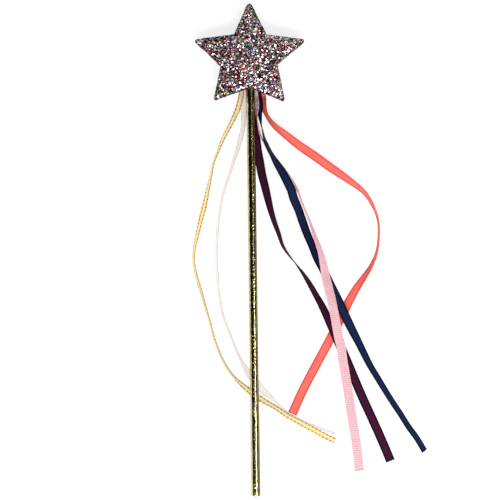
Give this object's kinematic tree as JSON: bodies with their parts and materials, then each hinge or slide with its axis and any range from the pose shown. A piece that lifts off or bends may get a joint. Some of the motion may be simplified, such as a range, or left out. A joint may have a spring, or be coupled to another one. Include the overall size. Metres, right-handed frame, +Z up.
{
  "type": "toy magic wand",
  "caption": "Toy magic wand: padded glitter star on a straight foil-wrapped stick, with loose ribbons glued behind the stick at the star's lower notch.",
  "frame": {"origin": "on the table, below the middle of the box round the star and the stick (the loose ribbons left out)", "axes": "+Y along the stick from the hand end to the star, +X to the right of the star's front as seen from above, +Z up from the table, out of the star's front"},
  "size_m": [0.1673, 0.354, 0.0128],
  "materials": {
    "stick_wood": "bare turned birch",
    "gold_foil": "metallised gold film, mirror-like and wrinkled",
    "gold_foil_grip": "metallised gold film, more wrinkled",
    "glitter_front": "chunky glitter in silver, grey, black and wine",
    "glitter_back": "chunky glitter in silver, grey, black and wine",
    "glitter_band": "chunky glitter, darker than the front",
    "foam": "soft closed-cell foam",
    "hot_melt": "milky hot-melt glue",
    "coral_satin": "woven ribbon with a soft sheen and redder edges",
    "navy_grosgrain": "ribbed woven ribbon",
    "pink_grosgrain": "ribbed woven ribbon, thin enough to show what lies under it",
    "plum_grosgrain": "ribbed woven ribbon with darker edges",
    "cream_organza": "sheer woven ribbon",
    "gold_organza": "sheer woven ribbon with metallic gold edges"
  },
  "bodies": {
    "root": {"wooden_stick": "stick_wood", "foil_sleeve": "gold_foil", "foil_grip": "gold_foil_grip", "star_front_panel": "glitter_front", "star_back_panel": "glitter_back", "star_edge_band": "glitter_band", "star_foam_front": "foam", "star_foam_back": "foam", "star_glue_pad": "hot_melt", "coral_ribbon": "coral_satin", "navy_ribbon": "navy_grosgrain", "pink_ribbon": "pink_grosgrain", "plum_ribbon": "plum_grosgrain", "cream_organza_ribbon": "cream_organza", "gold_organza_ribbon": "gold_organza"}
  },
  "joints": []
}
